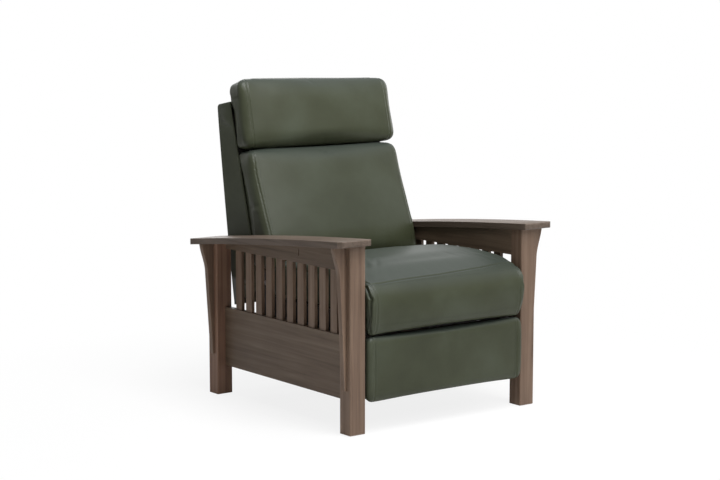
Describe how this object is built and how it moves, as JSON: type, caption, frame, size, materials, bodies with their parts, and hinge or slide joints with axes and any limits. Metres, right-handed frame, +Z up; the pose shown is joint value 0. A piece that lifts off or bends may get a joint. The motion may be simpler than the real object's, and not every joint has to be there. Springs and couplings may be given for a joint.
{
  "type": "power recliner",
  "caption": "Powered reclining armchair: slatted wood arms, leather seat, back and headrest, and a footrest that swings out on steel links.",
  "frame": {"origin": "on the floor under the middle of the chair's plan", "axes": "+Z up, -Y the way the sitter faces, +X the chair's right side as seen from the front"},
  "size_m": [0.866, 0.8782, 1.0675],
  "materials": {
    "stained_wood": "satin stain",
    "dark_wood": "dark wash",
    "leather": "soft matt",
    "webbing": "woven",
    "black_steel": "satin",
    "zinc_steel": "zinc plated",
    "black_plastic": "matt"
  },
  "bodies": {
    "frame": {"front_post_left": "stained_wood", "front_post_right": "stained_wood", "rear_post_left": "stained_wood", "rear_post_right": "stained_wood", "front_corbel_left": "stained_wood", "front_corbel_right": "stained_wood", "rear_corbel_left": "stained_wood", "rear_corbel_right": "stained_wood", "arm_board_left": "stained_wood", "arm_board_right": "stained_wood", "apron_left": "stained_wood", "apron_right": "stained_wood", "slats_left": "stained_wood", "slats_right": "stained_wood", "side_panel_left": "stained_wood", "side_panel_right": "stained_wood", "rear_rail": "dark_wood", "mounting_cleats": "dark_wood", "foot_glides": "black_plastic", "seat_frame": "dark_wood", "seat_springs": "black_steel", "seat_cushion": "leather", "side_plate_left": "black_steel", "side_plate_right": "black_steel", "actuator_bracket": "black_steel", "frame_pins": "zinc_steel", "bolts": "zinc_steel", "switch_housing": "black_plastic"},
    "back": {"back_frame": "dark_wood", "back_webbing": "webbing", "outer_back": "leather", "back_cushion": "leather", "headrest": "leather", "drive_tube": "black_steel", "back_bolts": "zinc_steel", "back_bracket_left": "black_steel", "back_bracket_right": "black_steel"},
    "front_links": {"front_link_left": "black_steel", "front_link_right": "black_steel", "front_link_pins": "zinc_steel"},
    "middle_links": {"middle_link_left": "black_steel", "middle_link_right": "black_steel", "middle_link_pins": "zinc_steel"},
    "footrest": {"footrest_bracket_left": "black_steel", "footrest_bracket_right": "black_steel", "footrest_board": "dark_wood", "footrest_pad": "leather"},
    "rear_links": {"rear_link_left": "black_steel", "rear_link_right": "black_steel"},
    "outer_links": {"outer_link_left": "black_steel", "outer_link_right": "black_steel"},
    "drive_links": {"drive_link_left": "black_steel", "drive_link_right": "black_steel"},
    "actuator": {"gearbox": "black_plastic", "motor": "black_plastic", "power_inlet": "black_plastic", "actuator_tube": "black_plastic"},
    "rod": {"actuator_rod": "zinc_steel"},
    "recline_button": {"recline_button": "black_plastic"},
    "close_button": {"close_button": "black_plastic"}
  },
  "joints": [
    {"name": "back_recline", "type": "hinge", "parent": "frame", "child": "back", "pos_m": [0, 0.149, 0.4], "axis": [-1, 0, 0], "range_deg": [0, 35]},
    {"name": "front_link_swing", "type": "hinge", "parent": "frame", "child": "front_links", "pos_m": [0, -0.2284, 0.2622], "axis": [-1, 0, 0], "range_deg": [0, 119.88]},
    {"name": "middle_link_swing", "type": "hinge", "parent": "front_links", "child": "middle_links", "pos_m": [0, -0.09691, 0.13971], "axis": [-1, 0, 0], "range_deg": [-119.3, 0]},
    {"name": "footrest_swing", "type": "hinge", "parent": "middle_links", "child": "footrest", "pos_m": [0, -0.3454, 0.2801], "axis": [-1, 0, 0], "range_deg": [0, 83.42]},
    {"name": "rear_link_swing", "type": "hinge", "parent": "frame", "child": "rear_links", "pos_m": [0, -0.1867, 0.2385], "axis": [-1, 0, 0], "range_deg": [0, 119.83]},
    {"name": "outer_link_swing", "type": "hinge", "parent": "front_links", "child": "outer_links", "pos_m": [0, -0.0713, 0.11586], "axis": [-1, 0, 0], "range_deg": [-117.91, 0]},
    {"name": "drive_link_swing", "type": "hinge", "parent": "back", "child": "drive_links", "pos_m": [0, 0.18809, 0.27602], "axis": [-1, 0, 0], "range_deg": [-34.93, 0]},
    {"name": "actuator_swing", "type": "hinge", "parent": "frame", "child": "actuator", "pos_m": [0, -0.336, 0.232], "axis": [-1, 0, 0], "range_deg": [-0.4597, 0]},
    {"name": "actuator_stroke", "type": "slide", "parent": "actuator", "child": "rod", "axis": [0, 0.9998, 0.0199], "range_m": [-0.09951, 0]},
    {"name": "recline_button_press", "type": "slide", "parent": "frame", "child": "recline_button", "axis": [-1, 0, 0], "range_m": [0, 0.0015], "stiffness_N_per_m": 300, "springref_m": -0.001},
    {"name": "close_button_press", "type": "slide", "parent": "frame", "child": "close_button", "axis": [-1, 0, 0], "range_m": [0, 0.0015], "stiffness_N_per_m": 300, "springref_m": -0.001}
  ],
  "couplings": [
    {"joint": "front_link_swing", "follows": "back_recline", "ratio": 3.4194},
    {"joint": "middle_link_swing", "follows": "back_recline", "ratio": -3.4029},
    {"joint": "footrest_swing", "follows": "back_recline", "ratio": 2.3777},
    {"joint": "rear_link_swing", "follows": "back_recline", "ratio": 3.418},
    {"joint": "outer_link_swing", "follows": "back_recline", "ratio": -3.3631},
    {"joint": "drive_link_swing", "follows": "back_recline", "ratio": -0.99218},
    {"joint": "actuator_swing", "follows": "back_recline", "ratio": -0.0074197},
    {"joint": "actuator_stroke", "follows": "back_recline", "m_per_rad": -0.16241}
  ]
}
